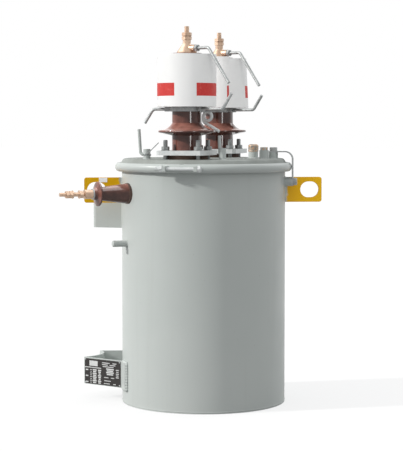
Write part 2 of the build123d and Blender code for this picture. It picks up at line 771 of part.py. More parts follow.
def all_nodes():
    """Return every node's solids, by name."""
    nodes = {
        "tank_shell": [tank_shell()],
        "tank_bottom": [tank_bottom()],
        "lid_gasket": [lid_gasket()],
        "lid": [lid()],
        "clamp_band": [clamp_band()],
        "clamp_band_bolt": [band_bolt()],
        "right_lifting_lug": [lifting_lug(LUG_AZIMUTH)],
        "left_lifting_lug": [lifting_lug(LUG_AZIMUTH + 180)],
        "upper_pole_bracket": [upper_pole_bracket()],
        "lower_pole_bracket": [lower_pole_bracket()],
        "nameplate": [nameplate()],
        "stub_boss": [stub_boss()],
        "lv_gasket": [lv_gasket()],
        "lv_porcelain": [lv_porcelain()],
        "lv_washer": [lv_washer()],
        "lv_terminal": [lv_terminal()],
        "lv_nuts": lv_nuts(),
        "hv_base_gaskets": on_both(hv_gasket()),
        "hv_flange_studs": on_both(*hv_flange_studs()),
        "hv_terminal_nuts": on_both(*hv_nuts()),
        "lid_horns": lid_horns(),
        "filler_boss": [filler_boss()],
        "filler_cap": [filler_cap()],
        "spare_boss": [spare_boss()],
        "bond_lid_boss": [bond_lid_boss()],
        "bond_tank_boss": [bond_tank_boss()],
        "earth_strap": [earth_strap()],
        "bond_bolts": bond_bolts(),
    }
    for side, place_y in BUSHINGS.items():
        for name, piece in bushing_pieces(side).items():
            nodes[side + "_hv_" + name] = [Pos(0, place_y, 0) * piece]
    return nodes


os.makedirs("parts", exist_ok=True)
for node, solids in all_nodes().items():
    shape = solids[0] if len(solids) == 1 else Compound(children=solids)
    export_step(shape, "parts/" + node + ".step")
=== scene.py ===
"""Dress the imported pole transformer: finishes, fasteners, welds, sleeves, lights and camera.

Lengths are in metres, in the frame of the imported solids: Z up, the tank's axis on Z, the two tall bushings
along Y, the pole brackets towards -X. Angles round the tank are measured from +X towards +Y.
"""

import json
import math
from collections import namedtuple

import bmesh
import bpy
from mathutils import Matrix, Vector


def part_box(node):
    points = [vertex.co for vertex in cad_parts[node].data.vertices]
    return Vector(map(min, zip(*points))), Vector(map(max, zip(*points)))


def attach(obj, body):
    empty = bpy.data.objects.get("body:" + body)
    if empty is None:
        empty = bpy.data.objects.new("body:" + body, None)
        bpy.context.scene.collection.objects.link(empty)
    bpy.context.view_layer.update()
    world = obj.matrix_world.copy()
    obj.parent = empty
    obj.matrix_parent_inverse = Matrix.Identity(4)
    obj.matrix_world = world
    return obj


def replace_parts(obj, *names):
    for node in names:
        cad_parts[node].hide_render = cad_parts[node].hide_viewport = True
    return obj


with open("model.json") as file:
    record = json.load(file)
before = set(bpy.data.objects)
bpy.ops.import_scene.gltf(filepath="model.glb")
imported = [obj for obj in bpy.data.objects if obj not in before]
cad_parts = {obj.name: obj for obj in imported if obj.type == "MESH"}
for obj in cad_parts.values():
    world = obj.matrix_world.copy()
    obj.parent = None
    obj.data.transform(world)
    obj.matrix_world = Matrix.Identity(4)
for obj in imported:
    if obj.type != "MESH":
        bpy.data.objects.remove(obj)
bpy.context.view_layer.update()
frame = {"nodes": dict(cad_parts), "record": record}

BODY = "root"
MM = 0.001
SIDES = 48


def low(node):
    """Return the lowest corner of a solid."""
    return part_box(node)[0]


def high(node):
    """Return the highest corner of a solid."""
    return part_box(node)[1]


def middle(node):
    """Return the middle of a solid's box."""
    return (low(node) + high(node)) / 2


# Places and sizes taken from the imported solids
TANK_R = high("tank_bottom").x
SEAM_Z = high("tank_bottom").z
LID_TOP = high("lid").z
FLANGE_TOP = high("front_hv_flange").z
FLANGE_STUD_TOP = high("hv_flange_studs").z
CAP_LOW = low("front_hv_terminal").z
NUTS_TOP = high("hv_terminal_nuts").z
TIP_TOP = high("front_hv_terminal").z
SLEEVE_LOW = low("front_hv_sleeve").z
SLEEVE_TOP = high("front_hv_sleeve").z
SLEEVE_R = (high("front_hv_sleeve").x - low("front_hv_sleeve").x) / 2
BUSHING_Y = {"front": middle("front_hv_sleeve").y, "rear": middle("rear_hv_sleeve").y}
LV_Z = middle("lv_porcelain").z
LUG_LOW = low("right_lifting_lug").z
LUG_TOP = high("right_lifting_lug").z
BAND_Z = middle("clamp_band_bolt").z

# Directions round the tank
PHOTO_SIDE = math.radians(287)
LV_SIDE = math.radians(222)
STUB_SIDE = math.radians(219)
LUG_SIDES = (math.radians(22), math.radians(202))
BAND_GAP_SIDE = math.radians(273)
BOND_SIDE = math.radians(9)
POLE_SIDE = math.radians(180)
HORN_SIDE = math.radians(-28)

# The card of the sleeves: its thickness and how far it laps over itself
CARD_T = 0.8 * MM
CARD_LAP = math.radians(14)

# Each sleeve's card: its seam and its printed fields in degrees from the photo's side, the lift of its loose
# corner, how much wider it is below than above, and how much its top edge climbs round the winding
Card = namedtuple("Card", "seam fields ear flare climb")
CARDS = {
    "front": Card(173, ((-90, -24), (19.5, 86), (129.5, 172.5), (173.5, 195.5)), 3 * MM, 0.0, 0.0),
    "rear": Card(19.3, ((15, 19), (64, 130), (174, 240)), 3 * MM, 6 * MM, 4 * MM),
}

# Fasteners
M10_FLATS = 17 * MM
M10_R = 5 * MM
M12_FLATS = 21 * MM
M12_R = 6 * MM
M8_FLATS = 15 * MM
M8_R = 4 * MM
NUT_H = 8 * MM
WASHER_T = 1.6 * MM

# Welds
WELD_STEP = 1 * MM
WELD_SIDES = 8

# Posts of the lid horns: the X of the two on the left, and the place of the one on the right
LEFT_POST_X = -100 * MM
RIGHT_POST = (91 * MM, -145 * MM)


def ring(radius, height, sides=SIDES):
    """Return points round Z; radius and height are numbers or functions of the angle."""
    points = []
    for side in range(sides):
        angle = 2 * math.pi * side / sides
        out = radius(angle) if callable(radius) else radius
        rise = height(angle) if callable(height) else height
        points.append(Vector((out * math.cos(angle), out * math.sin(angle), rise)))
    return points


def skin(rings, looped=False):
    """Return the vertices and faces that join rings of points; a ring of one point closes the form."""
    verts = []
    spans = []
    for points in rings:
        spans.append(range(len(verts), len(verts) + len(points)))
        verts += points
    pairs = list(zip(spans, spans[1:]))
    if looped:
        pairs.append((spans[-1], spans[0]))
    faces = []
    for below, above in pairs:
        sides = max(len(below), len(above))
        for side in range(sides):
            after = (side + 1) % sides
            corners = [below[side % len(below)], below[after % len(below)],
                       above[after % len(above)], above[side % len(above)]]
            faces.append(tuple(dict.fromkeys(corners)))
    return verts, faces


def capped(rings):
    """Return the rings joined up, with a flat face over the first and the last."""
    verts, faces = skin(rings)
    first = len(rings[0])
    last = len(verts) - len(rings[-1])
    return verts, faces + [tuple(range(first)), tuple(range(last, len(verts)))]


def lathe(outline, sides=SIDES):
    """Return a (radius, height) outline turned about Z, closed where it meets the axis."""
    rings = []
    for radius, height in outline:
        rings.append([Vector((0, 0, height))] if radius == 0 else ring(radius, height, sides))
    return skin(rings)


def washer(outer, bore, thick):
    """Return a flat washer standing on Z = 0."""
    edge = 0.25 * thick
    outline = ((bore, 0), (outer - edge, 0), (outer, edge), (outer, thick - edge), (outer - edge, thick),
               (bore, thick))
    return skin([ring(radius, height) for radius, height in outline], looped=True)


def hexagon(flats, height, bore=0.0):
    """Return a nut, or a bolt head where there is no bore, with its corners turned off at 30 degrees."""
    apothem = flats / 2
    face = apothem - 0.4 * MM
    sixth = math.pi / 3

    def reach(angle):
        return apothem / math.cos((angle + sixth / 2) % sixth - sixth / 2)

    def drop(angle):
        return (reach(angle) - face) * math.tan(math.radians(30))

    def upper(angle):
        return height - drop(angle)

    sides = [ring(face, 0), ring(reach, drop), ring(reach, upper), ring(face, height)]
    if bore == 0:
        return skin([[Vector((0, 0, 0))]] + sides + [[Vector((0, 0, height))]])
    lead = 0.8 * MM
    hole = [ring(bore + lead, height), ring(bore, height - lead), ring(bore, lead), ring(bore + lead, 0)]
    return skin(sides + hole, looped=True)


def thread(radius, bottom, top, pitch=1.75 * MM):
    """Return a screw thread's ridge wound on a stud of that radius."""
    steps = 20
    crest = radius + 0.35 * MM
    root = radius - 0.25 * MM
    half = 0.4 * pitch
    rings = []
    for step in range(int((top - bottom - pitch) / pitch * steps) + 1):
        angle = 2 * math.pi * step / steps
        height = bottom + half + pitch * step / steps
        across = Vector((math.cos(angle), math.sin(angle), 0))
        rise = Vector((0, 0, 1))
        rings.append([across * root + rise * (height - half), across * crest + rise * height,
                      across * root + rise * (height + half)])
    return capped(rings)


def tube(path, radius, sides, looped=False):
    """Return a tube along a path; radius is a number or a function of the distance along it."""
    count = len(path)
    rings = []
    normal = None
    run = 0.0
    for index, point in enumerate(path):
        before = path[index - 1] if looped or index else point
        after = path[(index + 1) % count] if looped or index + 1 < count else point
        along = (after - before).normalized()
        normal = along.orthogonal() if normal is None else normal - along * normal.dot(along)
        normal.normalize()
        across = along.cross(normal)
        size = radius(run) if callable(radius) else radius
        angles = [2 * math.pi * side / sides for side in range(sides)]
        rings.append([point + (normal * math.cos(a) + across * math.sin(a)) * size for a in angles])
        run += (after - point).length
    if looped:
        return skin(rings, looped=True)
    return skin([[path[0]]] + rings + [[path[-1]]])


def divided(path, step):
    """Return the path with points added along it about one step apart."""
    points = [path[0]]
    for start, end in zip(path, path[1:]):
        parts = max(1, round((end - start).length / step))
        points += [start.lerp(end, part / parts) for part in range(1, parts + 1)]
    return points


def polar(side, out, height):
    """Return the point at an angle round the tank's axis, a distance out and a height."""
    return Vector((out * math.cos(side), out * math.sin(side), height))


def arc(start, end, out, height, step):
    """Return points round the tank's axis from one angle to another."""
    parts = max(2, round(abs(end - start) * out / step))
    return [polar(start + (end - start) * part / parts, out, height) for part in range(parts + 1)]


def at(x, y, z):
    """Return the placement of an upright form."""
    return Matrix.Translation((x, y, z))


def outward(side, out, height, y=0.0):
    """Return the placement of a form whose axis points away from a vertical axis at that Y."""
    turn = Matrix.Rotation(side, 4, "Z")
    tip = Matrix.Rotation(math.pi / 2, 4, "Y")
    return at(0, y, 0) @ turn @ at(out, 0, height) @ tip


class Form:
    """Vertices and faces gathered from several shapes into one piece."""

    def __init__(self):
        self.verts = []
        self.faces = []

    def add(self, shape, place=Matrix()):
        """Add a shape, placed."""
        verts, faces = shape
        start = len(self.verts)
        self.verts += [place @ vert for vert in verts]
        self.faces += [tuple(start + corner for corner in face) for face in faces]

    def piece(self, name, slot, material=None, crease=34):
        """Make the object, shade it smooth up to the crease angle, and let it ride with the body."""
        mesh = bpy.data.meshes.new(name)
        mesh.from_pydata(self.verts, [], self.faces)
        mesh.validate()
        shape = bmesh.new()
        shape.from_mesh(mesh)
        bmesh.ops.recalc_face_normals(shape, faces=shape.faces)
        shape.to_mesh(mesh)
        shape.free()
        mesh.shade_smooth()
        mesh.set_sharp_from_angle(angle=math.radians(crease))
        mesh.materials.append(material or FINISHES[slot])
        made = bpy.data.objects.new(name, mesh)
        bpy.context.scene.collection.objects.link(made)
        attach(made, BODY)
        return made


def linear(red, green, blue):
    """Return a screen colour, 0 to 255, as the linear colour that a shader takes."""
    shades = []
    for shade in (red, green, blue):
        part = shade / 255
        shades.append(part / 12.92 if part <= 0.04045 else ((part + 0.055) / 1.055) ** 2.4)
    return (*shades, 1.0)


class Finish:
    """A node material and short ways to add to it; textures follow the object's own coordinates."""

    def __init__(self, name, **sockets):
        self.material = bpy.data.materials.new(name)
        self.material.use_nodes = True
        self.tree = self.material.node_tree
        self.shader = self.tree.nodes["Principled BSDF"]
        for socket, value in sockets.items():
            self.shader.inputs[socket.replace("_", " ")].default_value = value
        self.place = self.add("TexCoord").outputs["Object"]

    def add(self, kind, inputs=None, **settings):
        """Return a new node with its inputs set or linked."""
        made = self.tree.nodes.new("ShaderNode" + kind)
        for setting, value in settings.items():
            setattr(made, setting, value)
        for socket, value in (inputs or {}).items():
            if isinstance(value, bpy.types.NodeSocket):
                self.tree.links.new(value, made.inputs[socket])
            else:
                made.inputs[socket].default_value = value
        return made

    def noise(self, scale, detail, stretch=(1, 1, 1)):
        """Return a cloudy noise from 0 to 1."""
        mapped = self.add("Mapping", {"Vector": self.place, "Scale": stretch})
        made = self.add("TexNoise", {"Vector": mapped.outputs["Vector"], "Scale": scale, "Detail": detail})
        return made.outputs["Fac"]

    def cells(self, scale):
        """Return a level for each cell of a crystal pattern."""
        made = self.add("TexVoronoi", {"Vector": self.place, "Scale": scale})
        return self.add("SeparateColor", {"Color": made.outputs["Color"]}).outputs["Red"]

    def ramp(self, source, *stops):
        """Return a colour that runs through (position, colour) stops."""
        made = self.add("ValToRGB", {"Fac": source})
        made.color_ramp.elements[0].position = stops[0][0]
        made.color_ramp.elements[0].color = stops[0][1]
        made.color_ramp.elements[1].position = stops[-1][0]
        made.color_ramp.elements[1].color = stops[-1][1]
        for position, colour in stops[1:-1]:
            made.color_ramp.elements.new(position).color = colour
        return made.outputs["Color"]

    def span(self, source, start, end, first, last):
        """Return a source mapped from one range to another."""
        made = self.add("MapRange", {"Value": source, "From Min": start, "From Max": end, "To Min": first,
                                     "To Max": last})
        return made.outputs["Result"]

    def times(self, one, other):
        """Return the product of two sources."""
        made = self.add("Math", {0: one, 1: other}, operation="MULTIPLY")
        return made.outputs["Value"]

    def mix(self, share, first, second):
        """Return the first colour with a share of the second."""
        made = self.add("Mix", {0: share, 6: first, 7: second}, data_type="RGBA")
        return made.outputs[2]

    def edges(self, radius):
        """Return a mask that is 1 on outer and inner edges."""
        soft = self.add("Bevel", {"Radius": radius}, samples=4).outputs["Normal"]
        plain = self.add("NewGeometry").outputs["Normal"]
        facing = self.add("VectorMath", {0: soft, 1: plain}, operation="DOT_PRODUCT").outputs["Value"]
        return self.span(facing, 0.985, 0.80, 0.0, 1.0)

    def upward(self):
        """Return how far the surface faces up: 1 where it is level, 0 where it stands, -1 underneath."""
        return self.add("SeparateXYZ", {"Vector": self.add("NewGeometry").outputs["Normal"]}).outputs["Z"]

    def distance(self):
        """Return the distance from the tank's axis."""
        flat = self.add("VectorMath", {0: self.place, 1: (1, 1, 0)}, operation="MULTIPLY").outputs["Vector"]
        return self.add("VectorMath", {0: flat}, operation="LENGTH").outputs["Value"]

    def bump(self, *layers):
        """Lay bumps over each other, each a (source, strength, depth)."""
        normal = None
        for source, strength, depth in layers:
            made = self.add("Bump", {"Height": source, "Strength": strength, "Distance": depth})
            if normal is not None:
                self.tree.links.new(normal, made.inputs["Normal"])
            normal = made.outputs["Normal"]
        self.tree.links.new(normal, self.shader.inputs["Normal"])

    def set(self, socket, source):
        """Link a source to an input of the shader."""
        self.tree.links.new(source, self.shader.inputs[socket])


def painted_grey(finish, dust_and_painted_light=0.0):
    """Return the colour of the tank's grey paint: broad shifts, runs, specks, worn edges and, where asked, a
    darker painted shade in blotches.
    """
    broad = finish.noise(2.4, 4)
    colour = finish.ramp(broad, (0.32, linear(187, 193, 190)), (0.68, linear(195, 200, 197)))
    runs = finish.noise(1.0, 5, stretch=(42, 42, 1.5))
    colour = finish.mix(finish.span(runs, 0.56, 0.78, 0.0, 0.16), colour, linear(168, 172, 167))
    specks = finish.noise(150, 2)
    colour = finish.mix(finish.span(specks, 0.72, 0.78, 0.0, 0.22), colour, linear(146, 146, 138))
    wear = finish.times(finish.edges(1.2 * MM), finish.noise(55, 3))
    colour = finish.mix(finish.span(wear, 0.25, 0.7, 0.0, 0.4), colour, linear(212, 214, 211))
    if dust_and_painted_light == 0:
        return colour
    # Painted shade: where asked, blotches of a darker grey go over the paint; on the lid they stand in for
    # the lid's shade.
    painted_light_mask = finish.span(finish.noise(16, 5), 0.3, 0.7, 0.5 * dust_and_painted_light, dust_and_painted_light)
    return finish.mix(painted_light_mask, colour, linear(133, 136, 131))


def tank_paint(name="tank_paint", dust_and_painted_light=0.0):
    """Grey paint with a faint orange peel."""
    matt = 0.3 * dust_and_painted_light
    finish = Finish(name, Specular_IOR_Level=0.5 - 0.4 * dust_and_painted_light)
    finish.set("Base Color", painted_grey(finish, dust_and_painted_light))
    finish.set("Roughness", finish.span(finish.noise(18, 4), 0.3, 0.7, 0.36 + matt, 0.48 + matt))
    finish.bump((finish.noise(520, 2), 0.10, 0.4 * MM), (finish.noise(9, 2), 0.06, 2 * MM))
    return finish.material


def yellow_paint(name="yellow_paint", wall_shade=0.0):
    """Yellow on the lifting lugs, grey overspray next to the wall, and a brown painted shade next to the
    wall that fades outwards.
    """
    spray_from = TANK_R + 4 * MM
    spray_to = TANK_R + 8 * MM
    wall_shade_to = TANK_R + 44 * MM
    finish = Finish(name, Specular_IOR_Level=0.12)
    broad = finish.noise(14, 4)
    yellow = finish.ramp(broad, (0.3, linear(236, 180, 16)), (0.7, linear(246, 192, 26)))
    chips = finish.times(finish.edges(1.4 * MM), finish.noise(90, 3))
    yellow = finish.mix(finish.span(chips, 0.42, 0.6, 0.0, 0.7), yellow, linear(122, 96, 48))
    waver = finish.span(finish.noise(70, 3), 0, 1, -6 * MM, 6 * MM)
    ragged = finish.add("Math", {0: finish.distance(), 1: waver}).outputs["Value"]
    # Painted shade: the yellow turns brown next to the tank wall and fades outwards, standing in for the
    # shadow that the tank casts on the lug.
    grime_and_painted_shade = finish.span(ragged, spray_to, wall_shade_to, wall_shade, 0.0)
    yellow = finish.mix(grime_and_painted_shade, yellow, linear(142, 88, 50))
    spray = finish.span(ragged, spray_from, spray_to, 1.0, 0.0)
    finish.set("Base Color", finish.mix(spray, yellow, painted_grey(finish)))
    finish.set("Roughness", finish.span(finish.noise(30, 3), 0.3, 0.7, 0.36, 0.52))
    finish.bump((finish.noise(480, 2), 0.12, 0.4 * MM))
    return finish.material


def brown_glaze():
    """Glazed porcelain: mottled brown, thinner and redder at an edge, and paler where it faces up, which is
    a painted sky reflection.
    """
    finish = Finish("brown_glaze", IOR=1.5, Specular_IOR_Level=0.35)
    mottle = finish.noise(60, 5)
    colour = finish.ramp(mottle, (0.3, linear(72, 44, 38)), (0.52, linear(86, 53, 46)),
                         (0.72, linear(100, 63, 55)))
    thin = finish.times(finish.edges(3 * MM), finish.noise(40, 2))
    colour = finish.mix(finish.span(thin, 0.2, 0.7, 0.0, 0.55), colour, linear(152, 98, 80))
    pits = finish.noise(420, 2)
    colour = finish.mix(finish.span(pits, 0.7, 0.78, 0.0, 0.5), colour, linear(60, 30, 24))
    # Painted reflection: faces that look up turn a paler pinkish brown, standing in for the sky's sheen on
    # the tops of the sheds and the cone.
    painted_light_mask = finish.span(finish.upward(), 0.25, 0.95, 0.0, 0.75)
    dust_and_painted_light = finish.times(painted_light_mask, finish.span(mottle, 0.3, 0.7, 0.5, 1.0))
    finish.set("Base Color", finish.mix(dust_and_painted_light, colour, linear(152, 107, 96)))
    finish.set("Roughness", finish.span(mottle, 0.3, 0.7, 0.07, 0.14))
    finish.bump((finish.noise(38, 2), 0.05, 1 * MM))
    return finish.material


def bronze():
    """Cast bronze with a sanded skin, darker tarnish in patches and rubbed edges."""
    finish = Finish("bronze", Metallic=0.7)
    broad = finish.noise(45, 4)
    colour = finish.ramp(broad, (0.3, linear(180, 150, 127)), (0.7, linear(208, 182, 159)))
    tarnish = finish.noise(130, 4)
    colour = finish.mix(finish.span(tarnish, 0.58, 0.74, 0.0, 0.45), colour, linear(134, 107, 88))
    rubbed = finish.span(finish.edges(0.8 * MM), 0.2, 0.9, 0.0, 0.4)
    colour = finish.mix(rubbed, colour, linear(232, 208, 184))
    finish.set("Base Color", colour)
    finish.set("Roughness", finish.span(tarnish, 0.3, 0.7, 0.28, 0.44))
    finish.bump((finish.noise(900, 2), 0.12, 0.3 * MM))
    return finish.material


def galvanised(name="galvanised", shade=170, metal=0.35, spread=1.0):
    """Hot-dip zinc round a shade of grey: spangle, a little white bloom and some grime."""
    finish = Finish(name, Metallic=metal)
    spangle = finish.cells(160)
    dark = shade - 14 * spread
    pale = shade + 16 * spread
    white = shade + 30
    soot = shade - 52
    colour = finish.ramp(spangle, (0.0, linear(dark, dark + 3, dark + 3)),
                         (0.5, linear(shade, shade + 4, shade + 4)), (1.0, linear(pale, pale + 2, pale + 1)))
    bloom = finish.span(finish.noise(70, 5), 0.56, 0.75, 0.0, 0.4 * spread)
    colour = finish.mix(bloom, colour, linear(white, white, white - 3))
    grime_and_painted_shade = finish.span(finish.noise(28, 4), 0.58, 0.78, 0.0, 0.35 * spread)
    colour = finish.mix(grime_and_painted_shade, colour, linear(soot, soot, soot - 5))
    finish.set("Base Color", colour)
    finish.set("Roughness", finish.span(spangle, 0.0, 1.0, 0.38, 0.54))
    finish.bump((finish.noise(300, 3), 0.14, 0.3 * MM))
    return finish.material


def aged_brass():
    """Brass gone grey and brown in blotches, on the plugs of the lid."""
    finish = Finish("aged_brass", Metallic=0.4)
    blotch = finish.noise(210, 4)
    colour = finish.ramp(blotch, (0.4, linear(158, 155, 148)), (0.52, linear(190, 168, 148)),
                         (0.64, linear(206, 164, 128)))
    finish.set("Base Color", colour)
    finish.set("Roughness", finish.span(blotch, 0.3, 0.7, 0.4, 0.6))
    finish.bump((finish.noise(700, 2), 0.2, 0.3 * MM))
    return finish.material


def gasket_rubber():
    """Brown rubber, greyed by dust."""
    finish = Finish("gasket_rubber", Specular_IOR_Level=0.25)
    dust_and_painted_light = finish.noise(85, 4)
    finish.set("Base Color", finish.ramp(dust_and_painted_light, (0.35, linear(92, 74, 67)), (0.75, linear(116, 96, 87))))
    finish.set("Roughness", finish.span(dust_and_painted_light, 0.3, 0.7, 0.72, 0.9))
    finish.bump((finish.noise(700, 2), 0.2, 0.3 * MM))
    return finish.material


def white_card():
    """Coated card of the bushing sleeves, with a faint fibre and handling marks."""
    finish = Finish("white_card", Specular_IOR_Level=0.5)
    cloud = finish.noise(11, 4)
    colour = finish.ramp(cloud, (0.3, linear(237, 237, 236)), (0.7, linear(242, 242, 241)))
    marks = finish.noise(1.0, 4, stretch=(30, 30, 130))
    colour = finish.mix(finish.span(marks, 0.62, 0.76, 0.0, 0.2), colour, linear(222, 220, 214))
    finish.set("Base Color", colour)
    finish.set("Roughness", finish.span(cloud, 0.3, 0.7, 0.38, 0.5))
    finish.bump((finish.noise(640, 3), 0.06, 0.3 * MM), (finish.noise(16, 2), 0.05, 2 * MM))
    return finish.material


def red_print():
    """Flat red ink on the card, a little uneven where the ink is thin."""
    finish = Finish("red_print", Specular_IOR_Level=0.3)
    ink = finish.noise(260, 3)
    colour = finish.ramp(ink, (0.3, linear(196, 52, 48)), (0.7, linear(208, 66, 60)))
    thin = finish.span(finish.noise(90, 4), 0.6, 0.78, 0.0, 0.5)
    finish.set("Base Color", finish.mix(thin, colour, linear(222, 130, 122)))
    finish.set("Roughness", finish.span(ink, 0.3, 0.7, 0.46, 0.6))
    finish.bump((finish.noise(640, 3), 0.06, 0.3 * MM))
    return finish.material


def black_plate():
    """Black anodised plate with fine brushing and rubbed edges."""
    finish = Finish("black_plate", Metallic=0.3)
    brush = finish.noise(1.0, 4, stretch=(60, 60, 1400))
    colour = finish.ramp(brush, (0.3, linear(34, 31, 30)), (0.7, linear(54, 50, 48)))
    rub = finish.times(finish.edges(1 * MM), finish.noise(80, 3))
    finish.set("Base Color", finish.mix(finish.span(rub, 0.3, 0.7, 0.0, 0.6), colour, linear(150, 150, 148)))
    finish.set("Roughness", finish.span(brush, 0.3, 0.7, 0.34, 0.5))
    finish.bump((brush, 0.05, 0.2 * MM))
    return finish.material


def bare_fields():
    """Bare metal of the plate's ruled lines and empty fields."""
    finish = Finish("bare_fields", Metallic=0.4)
    brush = finish.noise(1.0, 4, stretch=(60, 60, 1400))
    finish.set("Base Color", finish.ramp(brush, (0.3, linear(196, 197, 196)), (0.7, linear(220, 221, 220))))
    finish.set("Roughness", finish.span(brush, 0.3, 0.7, 0.36, 0.5))
    finish.bump((brush, 0.06, 0.2 * MM))
    return finish.material


FINISHES = {
    "tank_paint": tank_paint(),
    "yellow_paint": yellow_paint(),
    "brown_glaze": brown_glaze(),
    "bronze": bronze(),
    "galvanised": galvanised(),
    "gasket_rubber": gasket_rubber(),
    "white_card": white_card(),
    "black_plate": black_plate(),
}
# The right lug's yellow carries painted shade: it is browner next to the tank wall.
YELLOW_WITH_PAINTED_SHADE = yellow_paint("yellow_paint_painted_shade", 0.2)
# The lid's paint carries painted shade: a darker grey in blotches. It is also more matt than the tank's.
LID_PAINT_WITH_PAINTED_SHADE = tank_paint("lid_paint_painted_shade", 0.9)
PALE_ZINC = galvanised("pale_zinc", 212, 0.15, 0.4)
DARK_ZINC = galvanised("dark_zinc", 146, 0.4)
AGED_BRASS = aged_brass()
RED_PRINT = red_print()
BARE_FIELDS = bare_fields()


def finish_solids():
    """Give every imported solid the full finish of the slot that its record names."""
    for part in frame["record"]["subparts"]:
        material = FINISHES[part["material_slot"]]
        mesh = frame["nodes"][part["node"]].data
        mesh.materials.clear()
        mesh.materials.append(material)
    special = {
        "right_lifting_lug": YELLOW_WITH_PAINTED_SHADE,
        "lid": LID_PAINT_WITH_PAINTED_SHADE,
        "front_hv_flange": PALE_ZINC,
        "rear_hv_flange": PALE_ZINC,
        "front_hv_eye_horn": PALE_ZINC,
    }
    for node, material in special.items():
        frame["nodes"][node].data.materials[0] = material


def stud(radius, bottom, top):
    """Return a plain stud with a turned end."""
    lead = 1 * MM
    return lathe(((0, bottom), (radius, bottom), (radius, top - lead), (radius - lead, top), (0, top)))


def flange_studs():
    """Studs, washers and nuts that hold the two square flanges."""
    off = 40 * MM
    washer_r = 10.5 * MM
    form = Form()
    for y in BUSHING_Y.values():
        for dx, dy in ((off, off), (off, -off), (-off, off), (-off, -off)):
            form.add(stud(M10_R, LID_TOP, FLANGE_STUD_TOP), at(dx, y + dy, 0))
            form.add(thread(M10_R, FLANGE_TOP + NUT_H, FLANGE_STUD_TOP), at(dx, y + dy, 0))
            form.add(washer(washer_r, M10_R, WASHER_T), at(dx, y + dy, FLANGE_TOP))
            form.add(hexagon(M10_FLATS, NUT_H, M10_R), at(dx, y + dy, FLANGE_TOP + WASHER_T))
    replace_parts(form.piece("flange_studs_and_nuts", "galvanised", DARK_ZINC), "hv_flange_studs")


def terminal_nuts():
    """Two nuts and the threaded tip of each tall bushing's stud, and the nut behind each top horn."""
    full = 9 * MM
    gap = 0.4 * MM
    tip_r = M12_R - 0.5 * MM
    horn_out = 30 * MM
    horn_z = CAP_LOW + 11 * MM
    form = Form()
    horn_nuts = Form()
    for y in BUSHING_Y.values():
        for bottom in (NUTS_TOP - full, NUTS_TOP - 2 * full):
            form.add(hexagon(M12_FLATS, full - gap, M12_R), at(0, y, bottom))
        form.add(thread(tip_r, NUTS_TOP, TIP_TOP), at(0, y, 0))
        horn_nuts.add(hexagon(M8_FLATS, NUT_H, M8_R), outward(HORN_SIDE, horn_out, horn_z, y))
    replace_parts(form.piece("terminal_nuts", "bronze"), "hv_terminal_nuts")
    horn_nuts.piece("top_horn_nuts", "galvanised")


def lv_nuts():
    """Nuts and washers along the low-voltage stud, and the stud's thread."""
    nuts_out = (316 * MM, 342 * MM, 351 * MM)
    washers_out = (324 * MM, 340.4 * MM)
    washer_r = 10 * MM
    thread_from = 312 * MM
    tip_from = 359 * MM
    tip_to = 373 * MM
    tip_r = 4.5 * MM
    axis = outward(LV_SIDE, 0, LV_Z)
    form = Form()
    for out in nuts_out:
        form.add(hexagon(M10_FLATS, NUT_H, M10_R), outward(LV_SIDE, out, LV_Z))
    for out in washers_out:
        form.add(washer(washer_r, M10_R, WASHER_T), outward(LV_SIDE, out, LV_Z))
    form.add(thread(M10_R, thread_from, tip_from), axis)
    form.add(thread(tip_r, tip_from, tip_to), axis)
    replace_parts(form.piece("lv_stud_nuts", "bronze"), "lv_nuts")


def bond_bolts():
    """The two bolts that hold the earth strap to the lid and to the tank."""
    head = 9 * MM
    washer_r = 9.8 * MM
    lid_out = 172 * MM
    strap_out = 220.5 * MM
    lid_spot = at(*polar(BOND_SIDE, lid_out, high("earth_strap").z))
    tank_spot = outward(BOND_SIDE, strap_out, middle("bond_tank_boss").z)
    form = Form()
    for spot in (lid_spot, tank_spot):
        form.add(washer(washer_r, M10_R, WASHER_T), spot)
        form.add(hexagon(M10_FLATS, head - WASHER_T), spot @ at(0, 0, WASHER_T))
    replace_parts(form.piece("bond_bolt_heads", "galvanised"), "bond_bolts")


def band_bolt():
    """The bolt that draws the clamp band's lugs together."""
    out = 224.5 * MM
    lugs = 42 * MM
    end = 60 * MM
    pitch = 1.25 * MM
    axis = polar(BAND_GAP_SIDE, out, BAND_Z)
    along = Matrix.Rotation(BAND_GAP_SIDE + math.pi / 2, 4, "Z") @ Matrix.Rotation(math.pi / 2, 4, "Y")
    place = Matrix.Translation(axis) @ along
    form = Form()
    form.add(stud(M8_R, -end, lugs), place)
    form.add(hexagon(M8_FLATS, NUT_H), place @ at(0, 0, lugs))
    form.add(hexagon(M8_FLATS, NUT_H, M8_R), place @ at(0, 0, -lugs - NUT_H))
    form.add(thread(M8_R, -end, -lugs - NUT_H, pitch), place)
    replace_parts(form.piece("clamp_bolt", "galvanised", PALE_ZINC), "clamp_band_bolt")


